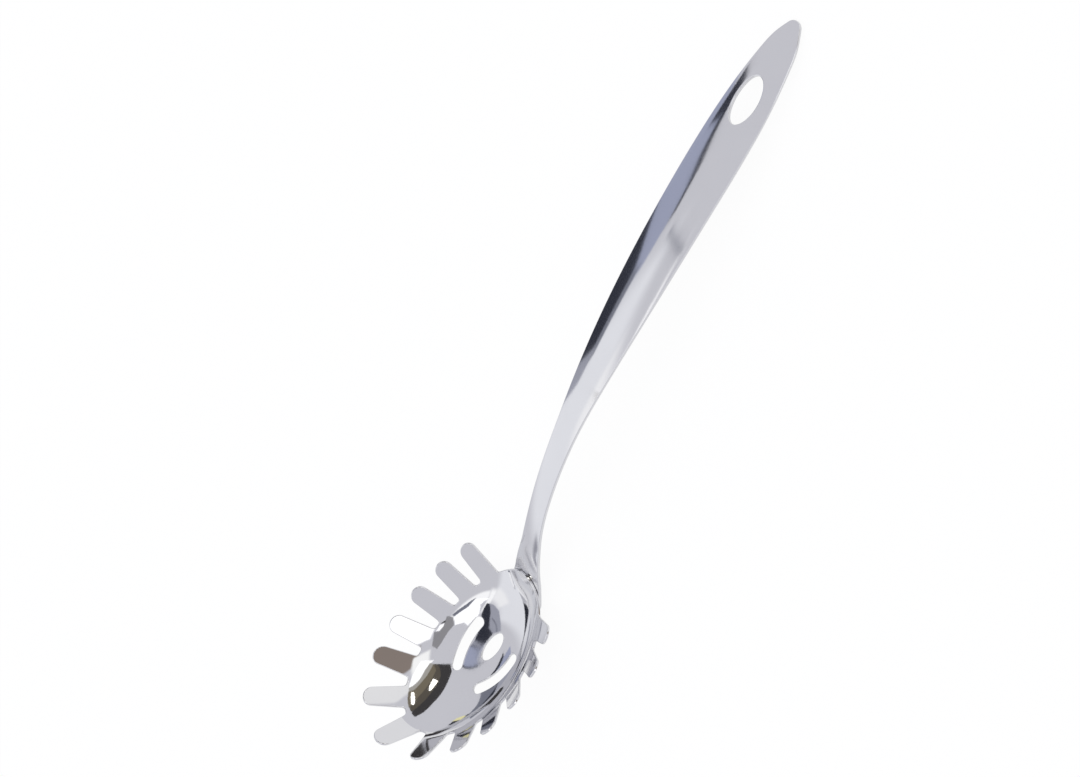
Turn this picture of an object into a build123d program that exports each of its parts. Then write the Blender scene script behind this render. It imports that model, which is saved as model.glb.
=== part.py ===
"""Pasta server of polished stainless steel.

Two pressings make the whole object.  The bowl is one thin sheet: an egg-shaped dish with
thirteen fingers round its rim, an oval hole in its floor and a curved slot each side of it.
The handle is a thicker strap: a flared foot that laps under the rear wall of the bowl, a
narrow rising neck and a long crowned grip with a leaf-shaped end and an oval hanging hole.
Three spot welds join them through the lap.

Both sheets are drawn in the frame of the bowl: the origin is the middle of the rim, +X runs
to the handle, and height zero is the root of the fingers at the sides.  At the end the whole
part is laid down on its bowl and on the tip of its handle, and centred on the origin.
"""
from build123d import *
import os
from math import atan, atan2, cos, degrees, exp, hypot, pi, radians, sin, sqrt, tan

# Sheets
bowl_gauge = 1.0
handle_gauge = 1.5
lap_gap = 0.1
grid_pitch = 2.0
grid_margin = 6.0
slope_step = 0.2
skin_tolerance = 0.001
cut_overrun = 150.0

# Dish of the bowl
rim_length = 74.2
rim_width = 44.6
rim_egg_share = 0.06
side_rise = 5.9
end_rise = 11.1
throat_lift = 2.4
throat_width = 10.0
throat_power = 4
rim_stations = 24

# Fingers, counted from the front one towards the handle; angles are in degrees
finger_pitch = 12.3
finger_length = 16.6
finger_root_width = 8.8
finger_tip_width = 7.5
front_finger_widening = 0.9
finger_elevation = 45.0
finger_elevation_swing = 4.5
finger_headings = (0.0, 41.0, 68.5, 76.0, 88.0, 101.0, 108.0)
finger_bend_length = 2.5
gap_round_share = 0.74
gap_corner_share = 1.05

# Piercings of the bowl; the slot runs through three places given as shares of the half rim
floor_hole_length = 12.6
floor_hole_width = 6.3
floor_hole_place = 4.5
slot_width = 4.2
slot_line_shares = ((-0.293, 0.320), (-0.049, 0.484), (0.199, 0.506))

# Foot of the handle, under the bowl
lap_length = 15.0
foot_width = 18.4
foot_nose_length = 8.4
foot_flat_length = 5.0
foot_release_length = 14.0

# Handle beyond the rim: it rises steeply at the neck, then with the grip's angle less its sag
handle_reach = 225.9
neck_rise = 21.2
neck_run = 29.5
grip_angle = 23.5
grip_sag = 34.5
crown_radius = 26.0

# Handle from above: places are shares of its reach, widths are shares of the neck's or grip's
neck_width = 9.6
grip_width = 22.8
nose_length = 1.9
nose_width = 6.4
neck_shares = ((0.039, 1.25), (0.082, 1.02), (0.137, 1.0), (0.208, 1.08), (0.274, 1.23))
grip_shares = (
    (0.345, 0.640), (0.433, 0.789), (0.544, 0.921), (0.677, 1.0), (0.787, 1.0),
    (0.880, 0.877), (0.936, 0.700), (0.965, 0.553),
)

# Hanging hole
hanging_hole_length = 18.6
hanging_hole_width = 10.2
hanging_hole_inset = 31.8

# Spot welds: each nugget goes through the bowl's sheet and bites into the handle's
weld_diameter = 4.2
weld_bite = 1.2
weld_rear_inset = 10.4
weld_front_inset = 5.4
weld_spacing = 9.2

# Search for the rim point nearest to a place
newton_rounds = 8
angle_step = 1e-4

# Derived sizes
rim_half_length = rim_length / 2
rim_half_width = rim_width / 2
foot_end_place = rim_half_length - lap_length
handle_tip_place = rim_half_length + handle_reach


def smooth_step(value, start, end):
    """Rise from 0 at start to 1 at end, level at both."""
    share = min(max((value - start) / (end - start), 0), 1)
    return share ** 3 * (10 - 15 * share + 6 * share * share)


def spread(start, end, pitch):
    """Evenly spaced places from start to end, about a pitch apart."""
    count = int((end - start) / pitch) + 1
    return [start + (end - start) * i / count for i in range(count + 1)]


def rim_point(angle):
    """Rim of the dish in plan, as (x, y); angle 0 is the front and pi the handle end."""
    along = -cos(angle)
    return rim_half_length * along, rim_half_width * sin(angle) * (1 - rim_egg_share * along)


def rim_direction(angle):
    """Unit tangent of the rim in plan, towards the handle end on the +Y side."""
    x0, y0 = rim_point(angle - angle_step)
    x1, y1 = rim_point(angle + angle_step)
    size = hypot(x1 - x0, y1 - y0)
    return (x1 - x0) / size, (y1 - y0) / size


def dish_shares(x, y):
    """Place in the dish as shares of the rim's half length and half width."""
    u = x / rim_half_length
    v = y / (rim_half_width * (1 - rim_egg_share * u))
    return u, v


def dish_height(x, y):
    """Upper face of the dish, with the throat that lifts towards the handle."""
    u, v = dish_shares(x, y)
    rise = (side_rise * v * v + end_rise * u * u) * hypot(u, v)
    throat = throat_lift * max(u, 0) ** throat_power * exp(-((y / throat_width) ** 2))
    return rise - side_rise + throat


def nearest_rim_angle(x, y):
    """Angle of the rim point whose outward normal passes through a place outside the rim."""
    def miss(angle):
        rim_x, rim_y = rim_point(angle)
        tangent_x, tangent_y = rim_direction(angle)
        return (x - rim_x) * tangent_x + (abs(y) - rim_y) * tangent_y

    angle = atan2(abs(y) / rim_half_width, -x / rim_half_length)
    for _ in range(newton_rounds):
        slope = (miss(angle + angle_step) - miss(angle - angle_step)) / (2 * angle_step)
        angle = min(max(angle - miss(angle) / slope, 0), pi)
    return angle


def finger_angle(rim_angle):
    """Elevation of the fingers in degrees: steepest at the front."""
    return finger_elevation + finger_elevation_swing * cos(rim_angle)


def bowl_height(x, y):
    """Upper face of the bowl sheet: the dish, then the bend and slope of the fingers."""
    u, v = dish_shares(x, y)
    if hypot(u, v) <= 1:
        return dish_height(x, y)
    angle = nearest_rim_angle(x, y)
    rim_x, rim_y = rim_point(angle)
    tangent_x, tangent_y = rim_direction(angle)
    root = dish_height(rim_x, rim_y)
    inner = dish_height(rim_x + tangent_y * slope_step, rim_y - tangent_x * slope_step)
    wall_slope = (root - inner) / slope_step
    finger_slope = tan(radians(finger_angle(angle)))
    outward = hypot(x - rim_x, abs(y) - rim_y)
    bend = min(outward, finger_bend_length)
    bent = wall_slope * bend + (finger_slope - wall_slope) * bend * bend / (2 * finger_bend_length)
    return root + bent + finger_slope * (outward - bend)


def lower_height(upper_height, gauge, x, y):
    """Lower face of a sheet, straight below a place of its upper face."""
    run = 2 * slope_step
    slope_x = (upper_height(x + slope_step, y) - upper_height(x - slope_step, y)) / run
    slope_y = (upper_height(x, y + slope_step) - upper_height(x, y - slope_step)) / run
    return upper_height(x, y) - gauge * sqrt(1 + slope_x * slope_x + slope_y * slope_y)


def seat_height(x, y):
    """Upper face of the handle's foot: flat across at its end, then following the bowl."""
    middle = lower_height(bowl_height, bowl_gauge, x, 0)
    follow = smooth_step(x, foot_end_place + foot_flat_length, rim_half_length)
    return middle + follow * (lower_height(bowl_height, bowl_gauge, x, y) - middle) - lap_gap


def handle_height(x, y):
    """Upper face of the handle sheet: seated under the bowl at its foot, crowned beyond."""
    lap_x = min(x, rim_half_length)
    run = x - lap_x
    neck_start = seat_height(rim_half_length, 0)
    neck_slope = (neck_start - seat_height(rim_half_length - slope_step, 0)) / slope_step
    risen = neck_start + neck_rise * (1 - exp(-run / neck_run)) + run * tan(radians(grip_angle))
    risen -= grip_sag * (run / handle_reach) ** 2 + y * y / (2 * crown_radius)
    free = smooth_step(x, rim_half_length, rim_half_length + foot_release_length)
    return risen * free + (seat_height(lap_x, y) + neck_slope * run) * (1 - free)


def make_skin(height, x_places, y_places):
    """Upper face of a sheet, through the points of a grid seen from above."""
    points = [[Vector(x, y, height(x, y)) for x in x_places] for y in y_places]
    return Face.make_surface_from_array_of_points(points, tol=skin_tolerance, min_deg=3, max_deg=3)


def press(skin, blank, gauge):
    """Sheet below a skin, cut to a blank."""
    return Solid.thicken((skin & blank).faces()[0], gauge, normal_override=(0, 0, -1))


def plan_blank(outline):
    """Blank that cuts a sheet to an outline seen from above."""
    return extrude(outline, cut_overrun, both=True)


# Bowl
rim_half = Spline(
    *[rim_point(pi * i / rim_stations) for i in range(rim_stations + 1)],
    tangents=[(0, 1), (0, -1)],
)
bowl_outline = make_face([rim_half, mirror(rim_half, about=Plane.XZ)])
for number, heading in enumerate(finger_headings):
    root = rim_half.position_at(number * finger_pitch, position_mode=PositionMode.LENGTH)
    plan_share = cos(radians(finger_angle(nearest_rim_angle(root.X, root.Y))))
    widening = front_finger_widening if number == 0 else 0
    root_half = (finger_root_width + widening) / 2
    tip_half = (finger_tip_width + widening) / 2
    straight = (finger_length - tip_half) * plan_share
    finger = make_face(Polyline(
        (-finger_root_width, -root_half), (0, -root_half), (straight, -tip_half),
        (straight, tip_half), (0, root_half), (-finger_root_width, root_half), close=True,
    ))
    finger += Pos(straight, 0) * Ellipse(tip_half * plan_share, tip_half)
    placed = Pos(root.X, root.Y) * Rot(0, 0, 180 - heading) * finger
    bowl_outline += placed
    if number > 0:
        bowl_outline += mirror(placed, about=Plane.XZ)

gap_bottom_radius = gap_round_share * (finger_pitch - finger_root_width) / 2
bowl_blank = plan_blank(bowl_outline)
gap_corners = [
    edge for edge in bowl_blank.edges().filter_by(Axis.Z)
    if hypot(*dish_shares(edge.center().X, edge.center().Y)) < gap_corner_share
    and abs(edge.center().Y) > gap_bottom_radius
]
bowl_blank = fillet(gap_corners, gap_bottom_radius)

floor_hole = Pos(floor_hole_place, 0) * Ellipse(floor_hole_length / 2, floor_hole_width / 2)
slot_places = [(u * rim_half_length, v * rim_half_width) for u, v in slot_line_shares]
slot = SlotArc(ThreePointArc(*slot_places), slot_width)
bowl_blank -= plan_blank(floor_hole)
bowl_blank -= plan_blank(slot)
bowl_blank -= plan_blank(mirror(slot, about=Plane.XZ))

weld_places = [
    (foot_end_place + weld_rear_inset, 0),
    (foot_end_place + weld_front_inset, weld_spacing / 2),
    (foot_end_place + weld_front_inset, -weld_spacing / 2),
]
weld_blanks = [plan_blank(Pos(x, y) * Circle(weld_diameter / 2)) for x, y in weld_places]
for weld_blank in weld_blanks:
    bowl_blank -= weld_blank

bowl_reach = finger_length + grid_pitch
bowl_skin = make_skin(
    bowl_height,
    spread(-rim_half_length - bowl_reach, rim_half_length + grid_margin, grid_pitch),
    spread(-rim_half_width - bowl_reach, rim_half_width + bowl_reach, grid_pitch),
)
bowl = press(bowl_skin, bowl_blank, bowl_gauge)

# Spot welds
weld_depth = bowl_gauge + lap_gap + weld_bite
welds = [press(bowl_skin, weld_blank, weld_depth) for weld_blank in weld_blanks]

# Handle
foot_x = foot_end_place + foot_nose_length
foot_y = foot_width / 2
nose_x = handle_tip_place - nose_length
nose_y = nose_width / 2
foot_nose = ThreePointArc((foot_x, -foot_y), (foot_end_place, 0), (foot_x, foot_y))
tip_nose = ThreePointArc((nose_x, nose_y), (handle_tip_place, 0), (nose_x, -nose_y))
side_points = [
    (rim_half_length + handle_reach * u, width * v / 2)
    for shares, width in ((neck_shares, neck_width), (grip_shares, grip_width))
    for u, v in shares
]
side = Spline(foot_nose @ 1, *side_points, tip_nose @ 0)
handle_outline = make_face([foot_nose, side, tip_nose, mirror(side, about=Plane.XZ)])
hanging_hole = Ellipse(hanging_hole_length / 2, hanging_hole_width / 2)
handle_blank = plan_blank(handle_outline)
handle_blank -= plan_blank(Pos(handle_tip_place - hanging_hole_inset, 0) * hanging_hole)
handle_skin = make_skin(
    handle_height,
    spread(foot_end_place - grid_margin, handle_tip_place + grid_margin, grid_pitch),
    spread(-grip_width / 2 - grid_pitch, grip_width / 2 + grid_pitch, grid_pitch),
)
handle = press(handle_skin, handle_blank, handle_gauge)
for weld in welds:
    handle -= weld

# Laid down: the midplane touches below the foot or the bowl, and below the tip of the handle
touch_places = [
    (x, lower_height(bowl_height, bowl_gauge, x, 0))
    for x in spread(-rim_half_length, rim_half_length, grid_pitch)
]
touch_places += [
    (x, lower_height(seat_height, handle_gauge, x, 0))
    for x in spread(foot_end_place, rim_half_length, slope_step)
]
tip_slope = (handle_height(handle_tip_place, 0) - handle_height(nose_x, 0)) / nose_length
tip_angle = atan(tip_slope)
tip_x = handle_tip_place + handle_gauge * sin(tip_angle)
tip_z = handle_height(handle_tip_place, 0) - handle_gauge * cos(tip_angle)
rest_tilt = degrees(max(atan2(tip_z - z, tip_x - x) for x, z in touch_places))
nodes = {"bowl": bowl, "handle": handle, "spot_welds": Compound(welds)}
tilted = {name: Rot(0, rest_tilt, 0) * piece for name, piece in nodes.items()}
box = Compound(list(tilted.values())).bounding_box()
os.makedirs("parts", exist_ok=True)
for name, piece in tilted.items():
    laid = Pos(-box.center().X, -box.center().Y, -box.min.Z) * piece
    export_step(laid, f"parts/{name}.step")
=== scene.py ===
"""Looks of the polished pasta server: fine sheets over the CAD nodes, studio light and camera.

Lengths are in millimetres in the frame of the bowl, as in the part's source, until the sheets
are laid down in the frame of the part, in metres.
"""
from math import atan, atan2, cos, exp, hypot, pi, radians, sin, sqrt, tan

import bpy
import numpy as np
from mathutils import Matrix, Vector
from mathutils.geometry import delaunay_2d_cdt, normal
from mathutils.kdtree import KDTree


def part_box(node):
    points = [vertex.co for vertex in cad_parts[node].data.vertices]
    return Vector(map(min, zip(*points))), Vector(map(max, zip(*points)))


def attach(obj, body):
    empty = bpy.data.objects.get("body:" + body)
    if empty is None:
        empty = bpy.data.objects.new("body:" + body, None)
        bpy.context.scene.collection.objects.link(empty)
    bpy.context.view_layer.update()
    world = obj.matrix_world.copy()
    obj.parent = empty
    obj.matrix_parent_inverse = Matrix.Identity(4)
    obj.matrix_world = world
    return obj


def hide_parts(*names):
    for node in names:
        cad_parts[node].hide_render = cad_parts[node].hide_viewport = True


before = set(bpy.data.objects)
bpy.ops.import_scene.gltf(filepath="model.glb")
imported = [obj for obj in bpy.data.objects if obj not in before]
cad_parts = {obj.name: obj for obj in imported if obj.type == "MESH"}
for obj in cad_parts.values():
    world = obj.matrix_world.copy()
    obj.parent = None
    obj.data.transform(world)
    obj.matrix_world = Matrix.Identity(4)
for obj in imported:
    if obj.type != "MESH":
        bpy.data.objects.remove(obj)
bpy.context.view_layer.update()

MM = 0.001

# Sheets
bowl_gauge = 1.0
handle_gauge = 1.5
lap_gap = 0.1
grid_pitch = 2.0
slope_step = 0.2
newton_rounds = 5

# Dish of the bowl
rim_half_length = 37.1
rim_half_width = 22.3
rim_egg_share = 0.06
side_rise = 5.9
end_rise = 11.1
throat_lift = 2.4
throat_width = 10.0
throat_power = 4

# Fingers
finger_pitch = 12.3
finger_length = 16.6
finger_root_width = 8.8
finger_tip_width = 7.5
front_finger_widening = 0.9
finger_elevation = 45.0
finger_elevation_swing = 4.5
finger_headings = (0.0, 41.0, 68.5, 76.0, 88.0, 101.0, 108.0)
finger_bend_length = 2.5
gap_round_share = 0.74
gap_bottom_radius = gap_round_share * (finger_pitch - finger_root_width) / 2

# Piercings
floor_hole_length = 12.6
floor_hole_width = 6.3
floor_hole_place = 4.5
slot_width = 4.2
slot_line_shares = ((-0.293, 0.320), (-0.049, 0.484), (0.199, 0.506))
hanging_hole_length = 18.6
hanging_hole_width = 10.2
hanging_hole_inset = 31.8

# Handle
lap_length = 15.0
foot_width = 18.4
foot_nose_length = 8.4
foot_flat_length = 5.0
foot_release_length = 14.0
handle_reach = 225.9
neck_rise = 21.2
neck_run = 29.5
grip_angle = 23.5
grip_sag = 34.5
crown_radius = 26.0
neck_width = 9.6
grip_width = 22.8
nose_length = 1.9
nose_width = 6.4
neck_shares = ((0.039, 1.25), (0.082, 1.02), (0.137, 1.0), (0.208, 1.08), (0.274, 1.23))
grip_shares = (
    (0.345, 0.640), (0.433, 0.789), (0.544, 0.921), (0.677, 1.0), (0.787, 1.0),
    (0.880, 0.877), (0.936, 0.700), (0.965, 0.553),
)
foot_end_place = rim_half_length - lap_length
handle_tip_place = rim_half_length + handle_reach

# Detail of the fine sheets
outline_step = 0.45
bowl_mesh_pitch = 0.8
handle_mesh_pitch = 1.1
bowl_edge_radius = 0.3
handle_edge_radius = 0.45
edge_steps = 4
tip_steps = 28
rear_steps = 60
rim_samples = 4001
halvings = 40
dish_ceiling = 7.0
normal_step = 0.05
angle_step = 1e-4
rim_nudge = 1.001
clear_share = 0.6
merge_distance = 1e-6

# The camera was fitted in the frame of the bowl: rows point right, down and forward
CAMERA_PLACE = Vector((250.4, -509.0, 788.4))
CAMERA_ROWS = (
    Vector((0.61049, -0.5811, -0.53817)),
    Vector((-0.7753, -0.57736, -0.25608)),
    Vector((-0.16191, 0.57357, -0.80299)),
)
FOCAL_PIXELS = 2500
IMAGE_WIDTH, IMAGE_HEIGHT = 1080, 777
SENSOR = 36
CAMERA_REACH = 20


def smooth_step(value, start, end):
    share = min(max((value - start) / (end - start), 0), 1)
    return share ** 3 * (10 - 15 * share + 6 * share * share)


def spread(start, end, pitch):
    count = int((end - start) / pitch) + 1
    return [start + (end - start) * i / count for i in range(count + 1)]


def rim_point(angle):
    along = -cos(angle)
    return rim_half_length * along, rim_half_width * sin(angle) * (1 - rim_egg_share * along)


def rim_direction(angle):
    x0, y0 = rim_point(angle - angle_step)
    x1, y1 = rim_point(angle + angle_step)
    size = hypot(x1 - x0, y1 - y0)
    return (x1 - x0) / size, (y1 - y0) / size


def dish_shares(x, y):
    u = x / rim_half_length
    return u, y / (rim_half_width * (1 - rim_egg_share * u))


def dish_height(x, y):
    u, v = dish_shares(x, y)
    rise = (side_rise * v * v + end_rise * u * u) * hypot(u, v)
    throat = throat_lift * max(u, 0) ** throat_power * exp(-((y / throat_width) ** 2))
    return rise - side_rise + throat


def nearest_rim_angle(x, y):
    """Angle of the rim point whose outward normal passes through a place outside the rim."""
    def miss(angle):
        rim_x, rim_y = rim_point(angle)
        tangent_x, tangent_y = rim_direction(angle)
        return (x - rim_x) * tangent_x + (abs(y) - rim_y) * tangent_y

    angle = atan2(abs(y) / rim_half_width, -x / rim_half_length)
    for _ in range(newton_rounds):
        slope = (miss(angle + angle_step) - miss(angle - angle_step)) / (2 * angle_step)
        angle = min(max(angle - miss(angle) / slope, 0), pi)
    return angle


def finger_angle(rim_angle):
    return finger_elevation + finger_elevation_swing * cos(rim_angle)


def bowl_height(x, y):
    """Upper face of the bowl sheet: the dish, then the bend and slope of the fingers."""
    u, v = dish_shares(x, y)
    if hypot(u, v) <= 1:
        return dish_height(x, y)
    angle = nearest_rim_angle(x, y)
    rim_x, rim_y = rim_point(angle)
    tangent_x, tangent_y = rim_direction(angle)
    root = dish_height(rim_x, rim_y)
    inner = dish_height(rim_x + tangent_y * slope_step, rim_y - tangent_x * slope_step)
    wall_slope = (root - inner) / slope_step
    finger_slope = tan(radians(finger_angle(angle)))
    outward = hypot(x - rim_x, abs(y) - rim_y)
    bend = min(outward, finger_bend_length)
    bent = wall_slope * bend + (finger_slope - wall_slope) * bend * bend / (2 * finger_bend_length)
    return root + bent + finger_slope * (outward - bend)


def lower_height(upper_height, gauge, x, y):
    run = 2 * slope_step
    slope_x = (upper_height(x + slope_step, y) - upper_height(x - slope_step, y)) / run
    slope_y = (upper_height(x, y + slope_step) - upper_height(x, y - slope_step)) / run
    return upper_height(x, y) - gauge * sqrt(1 + slope_x * slope_x + slope_y * slope_y)


def seat_height(x, y):
    """Upper face of the handle's foot: flat across at its end, then following the bowl."""
    middle = lower_height(bowl_height, bowl_gauge, x, 0)
    follow = smooth_step(x, foot_end_place + foot_flat_length, rim_half_length)
    return middle + follow * (lower_height(bowl_height, bowl_gauge, x, y) - middle) - lap_gap


neck_start = seat_height(rim_half_length, 0)
neck_slope = (neck_start - seat_height(rim_half_length - slope_step, 0)) / slope_step


def handle_height(x, y):
    """Upper face of the handle sheet: seated under the bowl at its foot, crowned beyond."""
    lap_x = min(x, rim_half_length)
    run = x - lap_x
    risen = neck_start + neck_rise * (1 - exp(-run / neck_run)) + run * tan(radians(grip_angle))
    risen -= grip_sag * (run / handle_reach) ** 2 + y * y / (2 * crown_radius)
    free = smooth_step(x, rim_half_length, rim_half_length + foot_release_length)
    if free == 1:
        return risen
    return risen * free + (seat_height(lap_x, y) + neck_slope * run) * (1 - free)


# Outlines, seen from above
def ellipse_loop(centre_x, length, width):
    count = int(pi * (length + width) / 2 / outline_step)
    return [
        (centre_x + length / 2 * cos(2 * pi * i / count), width / 2 * sin(2 * pi * i / count))
        for i in range(count)
    ]


def arc_points(centre, radius, start, end):
    count = max(int(abs(end - start) * radius / outline_step) + 1, 4)
    angles = [start + (end - start) * i / count for i in range(count + 1)]
    return [(centre[0] + radius * cos(a), centre[1] + radius * sin(a)) for a in angles]


def circle_through(a, b, c):
    """Centre of the circle through three places."""
    ax, ay = a
    bx, by = b[0] - ax, b[1] - ay
    cx, cy = c[0] - ax, c[1] - ay
    d = 2 * (bx * cy - by * cx)
    b2, c2 = bx * bx + by * by, cx * cx + cy * cy
    return ax + (cy * b2 - by * c2) / d, ay + (bx * c2 - cx * b2) / d


def slot_loop():
    """Outline of the slot on the +Y side: two arcs and two round ends."""
    front, middle, rear = [(u * rim_half_length, v * rim_half_width) for u, v in slot_line_shares]
    cx, cy = circle_through(front, middle, rear)
    radius = hypot(front[0] - cx, front[1] - cy)
    start = atan2(front[1] - cy, front[0] - cx)
    end = atan2(rear[1] - cy, rear[0] - cx)
    half = slot_width / 2
    turn = pi if end > start else -pi
    loop = arc_points((cx, cy), radius + half, start, end)
    loop += arc_points(rear, half, end, end + turn)[1:]
    loop += arc_points((cx, cy), radius - half, end, start)[1:]
    loop += arc_points(front, half, start + turn, start + 2 * turn)[1:-1]
    return loop


def natural_spline(points):
    """Places along the natural cubic curve through points, with chord lengths as its measure."""
    p = np.array(points, float)
    t = np.concatenate(([0], np.cumsum(np.hypot(*np.diff(p, axis=0).T))))
    h = np.diff(t)
    n = len(p)
    system = np.zeros((n, n))
    right_side = np.zeros((n, 2))
    system[0, 0] = system[-1, -1] = 1
    for i in range(1, n - 1):
        system[i, i - 1], system[i, i], system[i, i + 1] = h[i - 1], 2 * (h[i - 1] + h[i]), h[i]
        right_side[i] = 6 * ((p[i + 1] - p[i]) / h[i] - (p[i] - p[i - 1]) / h[i - 1])
    m = np.linalg.solve(system, right_side)
    places = []
    for i in range(n - 1):
        count = max(int(h[i] / outline_step), 1)
        for k in range(count):
            s = h[i] * k / count
            a = p[i] + s * ((p[i + 1] - p[i]) / h[i] - h[i] * (2 * m[i] + m[i + 1]) / 6)
            places.append(tuple(a + s * s * m[i] / 2 + s ** 3 * (m[i + 1] - m[i]) / (6 * h[i])))
    places.append(tuple(p[-1]))
    return places


def filled(points):
    """The same line with no step longer than the outline's."""
    out = []
    for (x0, y0), (x1, y1) in zip(points, points[1:]):
        count = max(int(hypot(x1 - x0, y1 - y0) / outline_step), 1)
        out += [(x0 + (x1 - x0) * k / count, y0 + (y1 - y0) * k / count) for k in range(count)]
    return out + [points[-1]]


def rounded_corner(corner, way_in, way_out, radius):
    """Arc that rounds a corner; both ways are unit vectors that lead away from it."""
    corner, a, b = Vector(corner), Vector(way_in), Vector(way_out)
    half = a.angle(b) / 2
    centre = corner + (a + b).normalized() * (radius / sin(half))
    start, end = corner + a * (radius / tan(half)), corner + b * (radius / tan(half))
    first = atan2(start.y - centre.y, start.x - centre.x)
    turn = (atan2(end.y - centre.y, end.x - centre.x) - first + pi) % (2 * pi) - pi
    return arc_points(centre, radius, first, first + turn)


def rim_stations():
    """Rim angles by length along the rim, for the finger roots."""
    angles = np.linspace(0, pi, rim_samples)
    xy = np.array([rim_point(a) for a in angles])
    lengths = np.concatenate(([0], np.cumsum(np.hypot(*np.diff(xy, axis=0).T))))
    stations = np.interp(finger_pitch * np.arange(len(finger_headings)), lengths, angles)
    return [float(angle) for angle in stations]


def finger_lines():
    """For each finger: its front corner, tip line and rear corner, from above on the +Y side."""
    fingers = []
    for number, (angle, heading) in enumerate(zip(rim_stations(), finger_headings)):
        root = Vector(rim_point(angle))
        out = Vector((cos(pi - radians(heading)), sin(pi - radians(heading))))
        aside = Vector((-out.y, out.x))
        plan_share = cos(radians(finger_angle(angle)))
        widening = front_finger_widening if number == 0 else 0
        root_half = (finger_root_width + widening) / 2
        tip_half = (finger_tip_width + widening) / 2
        straight = (finger_length - tip_half) * plan_share

        def side_place(along, side):
            half = root_half + (tip_half - root_half) * max(along, 0) / straight
            return root + out * along + aside * (side * half)

        def corner(side):
            low, high = -finger_root_width, straight
            for _ in range(halvings):
                middle = (low + high) / 2
                if hypot(*dish_shares(*side_place(middle, side))) < 1:
                    low = middle
                else:
                    high = middle
            return side_place(low, side)

        tip = [
            root + out * (straight + tip_half * plan_share * sin(a)) + aside * (tip_half * cos(a))
            for a in [pi * i / tip_steps for i in range(tip_steps + 1)]
        ]
        fingers.append((corner(1), tip, corner(-1)))
    return fingers


def bowl_loop():
    """Outline of the bowl, from the front finger's tip round both sides."""
    fingers = finger_lines()
    half = [tuple(p) for p in fingers[0][1][tip_steps // 2:]]
    for number, (front, tip, rear) in enumerate(fingers):
        if number:
            half += [tuple(p) for p in tip]
        way_in = (tip[-1] - rear).normalized()
        last = number == len(fingers) - 1
        if last:
            angle = nearest_rim_angle(*(rear * rim_nudge))
            way_out = Vector(rim_direction(angle))
        else:
            following = fingers[number + 1]
            way_out = (following[0] - rear).normalized()
        half += rounded_corner(rear, way_in, way_out, gap_bottom_radius)
        if last:
            start = angle + 2 * gap_bottom_radius / rim_half_length
            half += [
                rim_point(start + (pi - start) * i / rear_steps) for i in range(rear_steps + 1)
            ]
        else:
            way_back = (following[1][0] - following[0]).normalized()
            half += rounded_corner(following[0], way_back, -way_out, gap_bottom_radius)[::-1]
    half = filled(half)
    return half + [(x, -y) for x, y in half[-2:0:-1]]


def handle_loop():
    foot_x, foot_y = foot_end_place + foot_nose_length, foot_width / 2
    nose_x, nose_y = handle_tip_place - nose_length, nose_width / 2
    foot_radius = (foot_nose_length ** 2 + foot_y ** 2) / (2 * foot_nose_length)
    nose_radius = (nose_length ** 2 + nose_y ** 2) / (2 * nose_length)
    foot_centre = (foot_end_place + foot_radius, 0)
    nose_centre = (handle_tip_place - nose_radius, 0)
    foot_turn = atan2(foot_y, foot_x - foot_centre[0])
    nose_turn = atan2(nose_y, nose_x - nose_centre[0])
    side = natural_spline(
        [(foot_x, foot_y)]
        + [(rim_half_length + handle_reach * u, neck_width * v / 2) for u, v in neck_shares]
        + [(rim_half_length + handle_reach * u, grip_width * v / 2) for u, v in grip_shares]
        + [(nose_x, nose_y)]
    )
    half = arc_points(foot_centre, foot_radius, pi, foot_turn)
    half += side[1:]
    half += arc_points(nose_centre, nose_radius, nose_turn, 0)[1:]
    return half + [(x, -y) for x, y in half[-2:0:-1]]


# Sheets
def normal_at(height, x, y):
    step = normal_step
    slope_x = (height(x + step, y) - height(x - step, y)) / (2 * step)
    slope_y = (height(x, y + step) - height(x, y - step)) / (2 * step)
    return Vector((-slope_x, -slope_y, 1)).normalized()


def turning(loop):
    """Twice the area inside a loop, above zero where it runs anticlockwise."""
    return sum(loop[i - 1].x * loop[i].y - loop[i].x * loop[i - 1].y for i in range(len(loop)))


def inside(points, loops):
    """Even-odd test of many points against all the loops together."""
    odd = np.zeros(len(points), bool)
    x, y = points[:, 0], points[:, 1]
    for loop in loops:
        a = np.array(loop)
        b = np.roll(a, -1, axis=0)
        for (x0, y0), (x1, y1) in zip(a, b):
            if y0 == y1:
                continue
            crosses = (y0 > y) != (y1 > y)
            odd ^= crosses & (x < (x1 - x0) * (y - y0) / (y1 - y0) + x0)
    return odd


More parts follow.
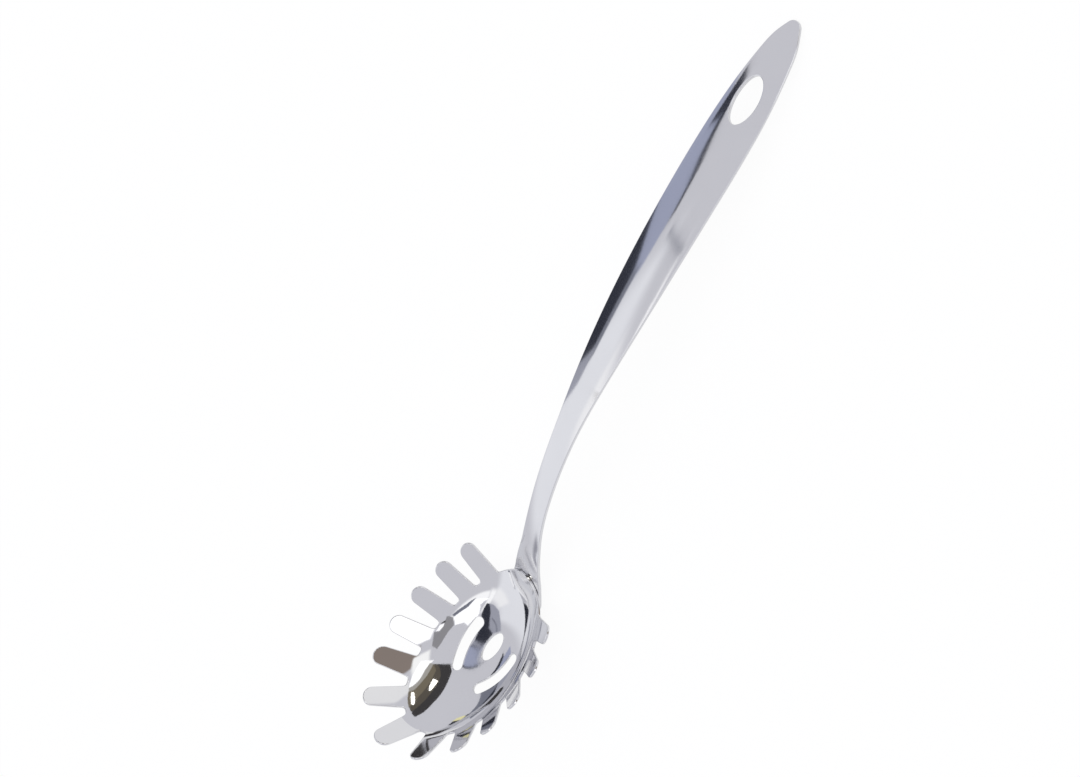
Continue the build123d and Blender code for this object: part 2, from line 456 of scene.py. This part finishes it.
def sheet_mesh(name, height, loops, gauge, radius, pitch):
    """Closed sheet with rounded edges below an upper face, with exact normals."""
    rims = []
    for loop in loops:
        spots = [Vector((x, y, height(x, y))) for x, y in loop]
        normals = [normal_at(height, x, y) for x, y in loop]
        count = len(spots)
        outer = loop is loops[0]
        sign = 1 if (turning(spots) > 0) == outer else -1
        outwards = []
        for i in range(count):
            along = (spots[(i + 1) % count] - spots[i - 1]).normalized()
            outwards.append((along.cross(normals[i]) * sign).normalized())
        rims.append((spots, normals, outwards))

    plan = [
        (s - o * radius).to_2d() for spots, _, outwards in rims for s, o in zip(spots, outwards)
    ]
    edges = []
    first = 0
    inset_loops = []
    for spots, _, _ in rims:
        count = len(spots)
        edges += [(first + i, first + (i + 1) % count) for i in range(count)]
        inset_loops.append([tuple(p) for p in plan[first:first + count]])
        first += count
    tree = KDTree(len(plan))
    for i, p in enumerate(plan):
        tree.insert((p.x, p.y, 0), i)
    tree.balance()
    low = np.min(plan, axis=0)
    high = np.max(plan, axis=0)
    grid = []
    for row, y in enumerate(np.arange(low[1], high[1], pitch * sqrt(3) / 2)):
        for x in np.arange(low[0] + pitch / 2 * (row % 2), high[0], pitch):
            grid.append((x, y))
    grid = np.array(grid)
    grid = grid[inside(grid, inset_loops)]
    grid = [(x, y) for x, y in grid if tree.find((x, y, 0))[2] > pitch * clear_share]
    rim_count = len(plan)
    coords = plan + [Vector(p) for p in grid]
    result = delaunay_2d_cdt(coords, edges, [], 0, merge_distance)
    places, triangles, sources = result[0], result[2], result[3]
    centres = np.array([
        (sum(places[i].x for i in t) / 3, sum(places[i].y for i in t) / 3) for t in triangles
    ])
    keep = inside(centres, inset_loops)
    triangles = [t for t, k in zip(triangles, keep) if k]

    vertices, normals = [], []
    rim_spots = [s for spots, _, _ in rims for s in spots]
    rim_normals = [n for _, ns, _ in rims for n in ns]
    rim_outwards = [o for _, _, os in rims for o in os]
    for place, source in zip(places, sources):
        if source and source[0] < rim_count:
            i = source[0]
            vertices.append(rim_spots[i] - rim_outwards[i] * radius)
            normals.append(rim_normals[i])
        else:
            vertices.append(Vector((place.x, place.y, height(place.x, place.y))))
            normals.append(normal_at(height, place.x, place.y))
    layer = len(vertices)
    top_of = {s[0]: i for i, s in enumerate(sources) if s and s[0] < rim_count}
    faces = []
    for t in triangles:
        a, b, c = [places[i] for i in t]
        if (b - a).cross(c - a) < 0:
            t = (t[0], t[2], t[1])
        faces.append(tuple(t))
        faces.append((t[0] + layer, t[2] + layer, t[1] + layer))
    vertices += [v - n * gauge for v, n in zip(vertices, normals)]
    normals += [-n for n in normals]

    first = 0
    for number, (spots, ns, os) in enumerate(rims):
        outer = number == 0
        count = len(spots)
        rings = [[top_of[first + i] for i in range(count)]]
        for part in range(2):
            for k in range(1 - part, edge_steps + 1 - part):
                turn = pi / 2 * k / edge_steps
                ring = []
                for i in range(count):
                    if part == 0:
                        facing = os[i] * sin(turn) + ns[i] * cos(turn)
                        core = spots[i] - os[i] * radius - ns[i] * radius
                    else:
                        facing = os[i] * cos(turn) - ns[i] * sin(turn)
                        core = spots[i] - os[i] * radius - ns[i] * (gauge - radius)
                    ring.append(len(vertices))
                    vertices.append(core + facing * radius)
                    normals.append(facing)
                rings.append(ring)
        rings.append([top_of[first + i] + layer for i in range(count)])
        outwards_first = (turning(spots) > 0) == outer
        for upper, lower in zip(rings, rings[1:]):
            for i in range(count):
                j = (i + 1) % count
                quad = (upper[i], lower[i], lower[j], upper[j])
                faces.append(quad if outwards_first else quad[::-1])
        first += count
    mesh = bpy.data.meshes.new(name)
    mesh.from_pydata([tuple(v) for v in vertices], [], faces)
    return mesh, normals


def laid_piece(name, mesh, normals, lay):
    """The piece in the frame of the part, riding on its body."""
    mesh.transform(lay)
    mesh.polygons.foreach_set("use_smooth", [True] * len(mesh.polygons))
    turn = lay.to_3x3().normalized()
    mesh.normals_split_custom_set_from_vertices([(turn @ n).normalized() for n in normals])
    mesh.update()
    piece = bpy.data.objects.new(name, mesh)
    bpy.context.scene.collection.objects.link(piece)
    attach(piece, "root")
    return piece


# How the server lies: it touches below the foot or the bowl, and below the tip of the handle
touch_places = [
    (x, lower_height(bowl_height, bowl_gauge, x, 0))
    for x in spread(-rim_half_length, rim_half_length, grid_pitch)
]
touch_places += [
    (x, lower_height(seat_height, handle_gauge, x, 0))
    for x in spread(foot_end_place, rim_half_length, slope_step)
]
nose_x = handle_tip_place - nose_length
tip_angle = atan((handle_height(handle_tip_place, 0) - handle_height(nose_x, 0)) / nose_length)
tip_x = handle_tip_place + handle_gauge * sin(tip_angle)
tip_z = handle_height(handle_tip_place, 0) - handle_gauge * cos(tip_angle)
rest_tilt = max(atan2(tip_z - z, tip_x - x) for x, z in touch_places)
turn = Matrix.Rotation(rest_tilt, 3, "Y")
lower_tip = turn @ Vector((tip_x, 0, tip_z))
upper_tip = turn @ Vector((handle_tip_place, 0, handle_height(handle_tip_place, 0)))
handle_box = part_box("handle")
shift = Vector((handle_box[1][0] / MM - upper_tip.x, 0, handle_box[0][2] / MM - lower_tip.z))
lay = Matrix.Scale(MM, 4) @ Matrix.Translation(shift) @ turn.to_4x4()

slot = slot_loop()
bowl_loops = [
    bowl_loop(), ellipse_loop(floor_hole_place, floor_hole_length, floor_hole_width),
    slot, [(x, -y) for x, y in slot],
]
handle_loops = [
    handle_loop(),
    ellipse_loop(handle_tip_place - hanging_hole_inset, hanging_hole_length, hanging_hole_width),
]
bowl_sheet = sheet_mesh(
    "bowl_sheet", bowl_height, bowl_loops, bowl_gauge, bowl_edge_radius, bowl_mesh_pitch)
handle_sheet = sheet_mesh(
    "handle_sheet", handle_height, handle_loops, handle_gauge, handle_edge_radius,
    handle_mesh_pitch)
bowl_piece = laid_piece("bowl_sheet", *bowl_sheet, lay)
handle_piece = laid_piece("handle_sheet", *handle_sheet, lay)
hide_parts("bowl", "spot_welds")
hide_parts("handle")


def node_tree(owner):
    owner.use_nodes = True
    tree = owner.node_tree
    tree.nodes.clear()
    return tree


# Steel
# Steel tints: the last is a lighter tint that goes on sharp edges, by their pointiness
BRIGHT, DULL, EDGE_TINT = (0.76, 0.76, 0.775, 1), (0.70, 0.70, 0.72, 1), (0.84, 0.84, 0.85, 1)
streak_scale = (60, 2600, 2600)
cloud_scale = 45
edge_from, edge_to = 0.52, 0.62
streak_strength, streak_depth = 0.02, 0.0001


def polished_steel(name, smoothest, roughest):
    """Mirror-polished stainless steel with faint polishing lines and handling marks."""
    material = bpy.data.materials.new(name)
    tree = node_tree(material)
    new, link = tree.nodes.new, tree.links.new
    output = new("ShaderNodeOutputMaterial")
    shader = new("ShaderNodeBsdfPrincipled")
    shader.inputs["Metallic"].default_value = 1
    coordinates = new("ShaderNodeTexCoord")
    streaks = new("ShaderNodeMapping")
    streaks.inputs["Scale"].default_value = streak_scale
    grain = new("ShaderNodeTexNoise")
    grain.inputs["Scale"].default_value = 1
    grain.inputs["Detail"].default_value = 4
    clouds = new("ShaderNodeTexNoise")
    clouds.inputs["Scale"].default_value = cloud_scale
    clouds.inputs["Detail"].default_value = 3
    rough = new("ShaderNodeMapRange")
    rough.inputs["To Min"].default_value = smoothest
    rough.inputs["To Max"].default_value = roughest
    tint = new("ShaderNodeMix")
    tint.data_type = "RGBA"
    tint.inputs["A"].default_value = BRIGHT
    tint.inputs["B"].default_value = DULL
    # Sharp edges take the lighter tint, by pointiness
    edge_ramp = new("ShaderNodeMapRange")
    edge_ramp.inputs["From Min"].default_value = edge_from
    edge_ramp.inputs["From Max"].default_value = edge_to
    edged = new("ShaderNodeMix")
    edged.data_type = "RGBA"
    edged.inputs["B"].default_value = EDGE_TINT
    shape = new("ShaderNodeNewGeometry")
    link(shape.outputs["Pointiness"], edge_ramp.inputs["Value"])
    link(edge_ramp.outputs["Result"], edged.inputs["Factor"])
    link(tint.outputs["Result"], edged.inputs["A"])
    bump = new("ShaderNodeBump")
    bump.inputs["Strength"].default_value = streak_strength
    bump.inputs["Distance"].default_value = streak_depth
    link(coordinates.outputs["Object"], streaks.inputs["Vector"])
    link(streaks.outputs["Vector"], grain.inputs["Vector"])
    link(coordinates.outputs["Object"], clouds.inputs["Vector"])
    link(clouds.outputs["Fac"], rough.inputs["Value"])
    link(clouds.outputs["Fac"], tint.inputs["Factor"])
    link(rough.outputs["Result"], shader.inputs["Roughness"])
    link(edged.outputs["Result"], shader.inputs["Base Color"])
    link(grain.outputs["Fac"], bump.inputs["Height"])
    link(bump.outputs["Normal"], shader.inputs["Normal"])
    link(shader.outputs["BSDF"], output.inputs["Surface"])
    return material


bowl_steel = polished_steel("bowl_steel", 0.035, 0.065)
handle_steel = polished_steel("handle_steel", 0.075, 0.13)
bowl_piece.data.materials.append(bowl_steel)
handle_piece.data.materials.append(handle_steel)
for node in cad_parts.values():
    node.data.materials.clear()
    node.data.materials.append(handle_steel)

# Camera
camera = bpy.data.cameras.new("camera")
camera.sensor_width = SENSOR
camera.lens = SENSOR * FOCAL_PIXELS / IMAGE_WIDTH
camera.clip_end = CAMERA_REACH
viewer = bpy.data.objects.new("camera", camera)
right, down, forward = [turn @ row for row in CAMERA_ROWS]
basis = Matrix((right, -down, -forward)).transposed().to_4x4()
viewer.matrix_world = Matrix.Translation((turn @ CAMERA_PLACE + shift) * MM) @ basis
bpy.context.scene.collection.objects.link(viewer)
bpy.context.scene.camera = viewer

# Floor: it glows where the camera sees it, and less where the steel does
floor_reach = 6
floor_paint = (0.9, 0.9, 0.9, 1)
floor_glow = 1.035
floor_glow_share = 0.88
steel_sees_share = 0.7


def math_in(tree, operation, first, second=None):
    node = tree.nodes.new("ShaderNodeMath")
    node.operation = operation
    for socket, value in zip(node.inputs, (first, second)):
        if value is None:
            continue
        if isinstance(value, (int, float)):
            socket.default_value = value
        else:
            tree.links.new(value, socket)
    return node.outputs["Value"]


def add_floor():
    mesh = bpy.data.meshes.new("floor")
    r = floor_reach
    mesh.from_pydata([(-r, -r, 0), (r, -r, 0), (r, r, 0), (-r, r, 0)], [], [(0, 1, 2, 3)])
    floor = bpy.data.objects.new("floor", mesh)
    bpy.context.scene.collection.objects.link(floor)
    material = bpy.data.materials.new("floor")
    tree = node_tree(material)
    new, link = tree.nodes.new, tree.links.new
    output = new("ShaderNodeOutputMaterial")
    diffuse = new("ShaderNodeBsdfDiffuse")
    diffuse.inputs["Color"].default_value = floor_paint
    glow = new("ShaderNodeEmission")
    glow.inputs["Strength"].default_value = floor_glow
    mix = new("ShaderNodeMixShader")
    path = new("ShaderNodeLightPath")
    in_steel = math_in(tree, "MULTIPLY", path.outputs["Is Glossy Ray"], steel_sees_share)
    seen = math_in(tree, "MAXIMUM", path.outputs["Is Camera Ray"], in_steel)
    link(math_in(tree, "MULTIPLY", seen, floor_glow_share), mix.inputs["Fac"])
    link(diffuse.outputs["BSDF"], mix.inputs[1])
    link(glow.outputs["Emission"], mix.inputs[2])
    link(mix.outputs["Shader"], output.inputs["Surface"])
    mesh.materials.append(material)


add_floor()

# Studio: soft white and grey walls round the table, with darker openings between them.
# Each patch: azimuth from, to; height angle from, to; softness; colour. Angles in degrees.
PLAIN = (0.72, 0.72, 0.765)
patches = (
    (112, 180, 18, 68, 14, (0.97, 0.98, 1.02)),
    (-180, -166, 55, 80, 8, (1.25, 1.25, 1.25)),
    (144, 180, 52, 67, 8, (1.12, 1.12, 1.13)),
    (-165, -88, 57, 68, 4, (1.25, 1.25, 1.25)),
    (151, 157, 14, 22, 3, (0.35, 0.35, 0.40)),
    (-84, -62, 22, 46, 4, (1.6, 1.6, 1.6)),
    (-58, -34, 8, 36, 5, (0.30, 0.25, 0.22)),
    (-46, -18, 30, 50, 5, (1.2, 1.2, 1.18)),
    (-27, -6, -4, 25, 5, (0.98, 0.98, 0.98)),
)
# Colours of the painted reflections, glints and shade that the glowing cards below put into the
# steel
NAVY, SLATE = (0.036, 0.039, 0.054), (0.42, 0.45, 0.59)
STONE, ASH = (0.22, 0.23, 0.28), (0.42, 0.43, 0.50)
COAL, UMBER = (0.06, 0.057, 0.058), (0.12, 0.105, 0.085)
BROWN, SAND = (0.21, 0.18, 0.13), (0.46, 0.44, 0.40)
WHITE, GLINT = (1.45, 1.45, 1.45), (3.4, 3.3, 3.0)
STRAW, LEAD = (0.95, 0.9, 0.5), (0.34, 0.335, 0.35)

# Painted reflections: glowing cards, seen only in the steel, that hang upright to the left of the
# table,
# in metres: place, then across and up of each corner, and the colour
near_wall, far_wall = 0.33, 0.99
wall_reflection_cards = (
    (near_wall, ((-0.14, 0.07), (0, 0.07), (-0.03, 0.2), (-0.05, 0.26), (-0.14, 0.26)), NAVY),
    (near_wall, ((-0.16, 0.26), (-0.05, 0.26), (-0.055, 0.335), (-0.16, 0.32)), STONE),
    (near_wall, ((-0.2, 0.1), (-0.14, 0.08), (-0.14, 0.3), (-0.19, 0.28)), ASH),
    (near_wall, ((0.068, 0.125), (0.116, 0.13), (0.121, 0.215), (0.112, 0.26), (0.082, 0.2)),
     NAVY),
    (far_wall, ((-0.3, 0.15), (0.04, 0.15), (0.035, 0.5), (0, 0.62), (-0.034, 0.725),
        (-0.09, 1.02), (-0.177, 1.15), (-0.3, 1.08)), SLATE),
    (far_wall, ((0.035, 0.5), (0.075, 0.53), (0.05, 0.67), (0, 0.62)), NAVY),
    (far_wall, ((0, 0.62), (0.05, 0.67), (0.014, 0.78), (-0.034, 0.725)), NAVY),
    (far_wall, ((-0.034, 0.725), (0.014, 0.78), (-0.042, 1.1), (-0.09, 1.02)), NAVY),
    (far_wall, ((-0.09, 1.02), (-0.042, 1.1), (-0.165, 1.27), (-0.177, 1.15)), NAVY),
)

# Painted reflection: a glowing strip over the grip, in metres. It leans, so that it shows in the
# grip alone
grip_reflection = ((0.03, 0.138, 0.255), (0.029, 0.054, 0.29), (0.0265, -0.02, 0.298))
grip_reflection_width = 0.01
grip_reflection_lean = radians(62)

# Painted reflections, glints and shade in the bowl: glowing cards over it that show only in it.
# Their planes
# lean over it from the neck: each card has its plane's distance from the bowl's floor in metres,
# its colour, and the outline in which it shows, in pixels of the photo
card_spot = Vector((-0.118, 0, 0.012))
card_facing = Vector((0.906, 0, 0.423))
front_glint = ((433, 679), (438, 681), (435, 685), (431, 690), (429, 691), (429.5, 686))
left_glint = ((411.5, 692), (414, 693), (415, 701), (413.5, 705), (411.5, 704), (411, 698))
front_shade = (
    (437, 664), (451, 664), (452, 671), (449, 679), (443, 691), (433, 703), (424, 712), (415, 717),
    (411.5, 713.5), (412.5, 711), (422, 703), (431, 693), (438, 683), (441, 675), (440, 668),
)
front_half_shade = (
    (433.5, 664), (438, 664), (441, 668), (442, 675), (439, 683), (432, 693), (423, 703),
    (412, 712), (410.5, 711), (409.5, 707), (418, 697), (426, 688), (433, 677), (436, 670),
)
front_brown = (
    (433.5, 664), (437, 668), (436, 677), (428, 688), (419, 698), (409, 708), (408, 704),
    (407.6, 698), (408.3, 692), (414, 690), (420, 684), (428, 674),
)
front_edge = (
    (430, 663), (434, 664), (429, 675), (421, 685), (415, 691), (408.4, 693), (408.9, 688),
    (414, 685), (420, 679), (425, 670),
)
front_white = (
    (434, 660), (430, 664), (425, 671), (420, 680), (415, 686), (408.9, 688.5), (409.5, 684),
    (412.3, 676), (416.5, 668), (421, 661),
)
floor_dark = (
    (487, 603), (489.5, 603.5), (490.5, 612), (489.5, 620), (489, 628), (493, 634), (488.5, 640),
    (484, 645.5), (479.5, 643), (474.5, 640), (478, 630.5), (482, 622), (481, 616),
    (483.5, 608.5),
)
floor_line = ((471, 644.3), (476, 646.3), (482.5, 649.3), (482.8, 650.8), (476, 648.2), (471, 646))
floor_blue = (
    (470, 645.5), (476, 647.5), (483, 650.5), (481.5, 655), (480.3, 660), (478, 664.8), (472, 667),
    (466, 667), (463, 665),
)
floor_blue_rim = (
    (462, 664.5), (466, 667), (472, 667), (478, 664.8), (480.3, 660), (481.6, 660.5),
    (480.2, 664.9), (476, 667.8), (470, 669.2), (465, 668.8), (461.5, 666.5),
)
floor_band = (
    (474.5, 639.5), (479.5, 642.5), (484.5, 645), (482.5, 649.8), (476, 647), (471, 645),
)
side_grey = (
    (489, 603.5), (494, 605), (499, 611), (500.5, 621), (501, 631), (497, 633), (492.5, 633.5),
    (488.5, 628), (489, 620), (490, 612),
)
side_line = (
    (492, 617.5), (495, 621), (497, 626), (497.5, 632), (496.3, 632.5), (496, 626.5), (494, 622),
    (491.5, 618.5),
)
rear_line = (
    (476.5, 597.5), (468, 607), (460, 612.3), (454, 616.5), (452, 615), (458, 610), (466, 604.5),
    (470.5, 601),
)
rear_white = (
    (490, 598.5), (485, 600.5), (480.5, 604.5), (479.5, 612), (478, 617), (468, 626), (464, 622.5),
    (455, 625), (454, 618), (460, 611.5), (468, 606), (475.5, 599),
)
left_grey = (
    (447, 616), (453, 617), (454, 625), (448, 632), (442, 642), (437, 649), (432, 646), (434, 632),
    (440, 631), (444, 625),
)
left_spot = ((446, 619.8), (445, 622.8), (440, 623.8))
left_white = ((439.5, 625.2), (444.5, 623.5), (443, 627), (439, 631), (436, 631))
near_yellow = ((452, 721.5), (457, 718), (464, 715.5), (466, 716), (461, 719.5))
near_grey = (
    (481, 691), (487, 689.5), (498, 682.5), (497, 689), (493, 698), (486, 707), (478, 713),
    (470, 719), (469, 714), (477, 705), (480, 698),
)
near_plain = (
    (446, 700), (456, 680), (475, 690), (482, 690), (481, 697), (478, 704), (470, 713), (455, 720),
    (440, 723.5), (428, 727), (422, 724), (432, 714),
)
bowl_reflection_cards = (
    (0.118, GLINT, front_glint),
    (0.118, GLINT, left_glint),
    (0.119, COAL, front_shade),
    (0.1195, UMBER, front_half_shade),
    (0.12, BROWN, front_brown),
    (0.1205, SAND, front_edge),
    (0.121, WHITE, front_white),
    (0.12, NAVY, floor_dark),
    (0.1195, NAVY, floor_line),
    (0.12, SLATE, floor_blue),
    (0.12, NAVY, floor_blue_rim),
    (0.1205, ASH, floor_band),
    (0.1205, ASH, side_grey),
    (0.12, STONE, side_line),
    (0.1195, STONE, rear_line),
    (0.12, WHITE, rear_white),
    (0.121, LEAD, left_grey),
    (0.1195, COAL, left_spot),
    (0.12, WHITE, left_white),
    (0.06, STRAW, near_yellow),
    (0.0605, STONE, near_grey),
    (0.061, PLAIN, near_plain),
)


def ramp_in(tree, value, low, high):
    node = tree.nodes.new("ShaderNodeMapRange")
    node.interpolation_type = "SMOOTHSTEP"
    node.inputs["From Min"].default_value = low
    node.inputs["From Max"].default_value = high
    tree.links.new(value, node.inputs["Value"])
    return node.outputs["Result"]


def add_sky():
    """World of patches by direction for the steel, and white for the camera."""
    world = bpy.data.worlds.new("studio")
    bpy.context.scene.world = world
    tree = node_tree(world)
    new, link = tree.nodes.new, tree.links.new
    coordinates = new("ShaderNodeTexCoord")
    split = new("ShaderNodeSeparateXYZ")
    link(coordinates.outputs["Generated"], split.inputs["Vector"])
    turned = math_in(tree, "ARCTAN2", split.outputs["Y"], split.outputs["X"])
    azimuth = math_in(tree, "MULTIPLY", turned, 180 / pi)
    raised = math_in(tree, "ARCSINE", split.outputs["Z"])
    elevation = math_in(tree, "MULTIPLY", raised, 180 / pi)
    colour = None
    for start, end, low, high, soft, shade in patches:
        middle, half_width, half_soft = (start + end) / 2, (end - start) / 2, soft / 2
        offset = math_in(tree, "ADD", azimuth, 180 - middle)
        cycle = math_in(tree, "FLOORED_MODULO", offset, 360)
        away = math_in(tree, "ABSOLUTE", math_in(tree, "SUBTRACT", cycle, 180))
        across = ramp_in(tree, away, half_width + half_soft, half_width - half_soft)
        above = ramp_in(tree, elevation, low - half_soft, low + half_soft)
        below = ramp_in(tree, elevation, high + half_soft, high - half_soft)
        level = math_in(tree, "MULTIPLY", above, below)
        mix = new("ShaderNodeMix")
        mix.data_type = "RGBA"
        link(math_in(tree, "MULTIPLY", across, level), mix.inputs["Factor"])
        if colour is None:
            mix.inputs["A"].default_value = (*PLAIN, 1)
        else:
            link(colour, mix.inputs["A"])
        mix.inputs["B"].default_value = (*shade, 1)
        colour = mix.outputs["Result"]
    sky = new("ShaderNodeBackground")
    link(colour, sky.inputs["Color"])
    white = new("ShaderNodeBackground")
    path = new("ShaderNodeLightPath")
    choice = new("ShaderNodeMixShader")
    link(path.outputs["Is Camera Ray"], choice.inputs["Fac"])
    link(sky.outputs["Background"], choice.inputs[1])
    link(white.outputs["Background"], choice.inputs[2])
    output = new("ShaderNodeOutputWorld")
    link(choice.outputs["Shader"], output.inputs["Surface"])


def hang_reflection_card(name, spots, shade, shown_to=None):
    """Glowing card that paints a reflection: it shows only in polished faces, and from one side
    where one is given.
    """
    if shown_to and normal(spots).dot(shown_to) < 0:
        spots = spots[::-1]
    mesh = bpy.data.meshes.new(name)
    mesh.from_pydata([tuple(v) for v in spots], [], [tuple(range(len(spots)))])
    card = bpy.data.objects.new(name, mesh)
    bpy.context.scene.collection.objects.link(card)
    card.visible_camera = card.visible_diffuse = card.visible_shadow = False
    material = bpy.data.materials.new(name)
    tree = node_tree(material)
    new, link = tree.nodes.new, tree.links.new
    glow = new("ShaderNodeEmission")
    glow.inputs["Color"].default_value = (*shade, 1)
    output = new("ShaderNodeOutputMaterial")
    if shown_to:
        side = new("ShaderNodeNewGeometry")
        clear = new("ShaderNodeBsdfTransparent")
        mix = new("ShaderNodeMixShader")
        link(side.outputs["Backfacing"], mix.inputs["Fac"])
        link(glow.outputs["Emission"], mix.inputs[1])
        link(clear.outputs["BSDF"], mix.inputs[2])
        link(mix.outputs["Shader"], output.inputs["Surface"])
    else:
        link(glow.outputs["Emission"], output.inputs["Surface"])
    mesh.materials.append(material)


def shown_at(pixel, distance):
    """Place on a leaning plane over the bowl that shows in its dish at a pixel of the photo."""
    across, drop = pixel[0] - IMAGE_WIDTH / 2, pixel[1] - IMAGE_HEIGHT / 2
    ray = (CAMERA_ROWS[0] * across + CAMERA_ROWS[1] * drop) / FOCAL_PIXELS + CAMERA_ROWS[2]
    above, below = [(z - CAMERA_PLACE.z) / ray.z for z in (dish_ceiling, -dish_ceiling)]
    for _ in range(halvings):
        middle = (above + below) / 2
        spot = CAMERA_PLACE + ray * middle
        if spot.z > dish_height(spot.x, spot.y):
            above = middle
        else:
            below = middle
    way = turn @ ray.normalized().reflect(normal_at(dish_height, spot.x, spot.y))
    spot = lay @ spot
    return spot + way * ((distance - card_facing.dot(spot - card_spot)) / card_facing.dot(way))


add_sky()
# Glowing cards that paint reflections into the steel
for number, (place, corners, shade) in enumerate(wall_reflection_cards):
    hang_reflection_card(f"wall_reflection_card_{number}", [Vector((x, place, z)) for x, z in corners], shade)
# Glowing strip that paints a grey reflection band into the grip
grip_reflection_side = Vector((cos(grip_reflection_lean), 0, sin(grip_reflection_lean))) * grip_reflection_width / 2
hang_reflection_card(
    "grip_reflection", [Vector(p) - grip_reflection_side for p in grip_reflection] + [Vector(p) + grip_reflection_side for p in grip_reflection[::-1]],
    STONE, Vector((sin(grip_reflection_lean), 0, -cos(grip_reflection_lean))))
# Glowing cards that paint reflections, glints and shade into the bowl
for number, (distance, shade, outline) in enumerate(bowl_reflection_cards):
    spots = [shown_at(pixel, distance) for pixel in outline]
    hang_reflection_card(f"bowl_reflection_card_{number}", spots, shade, -card_facing)

bpy.context.scene.view_settings.view_transform = "Standard"
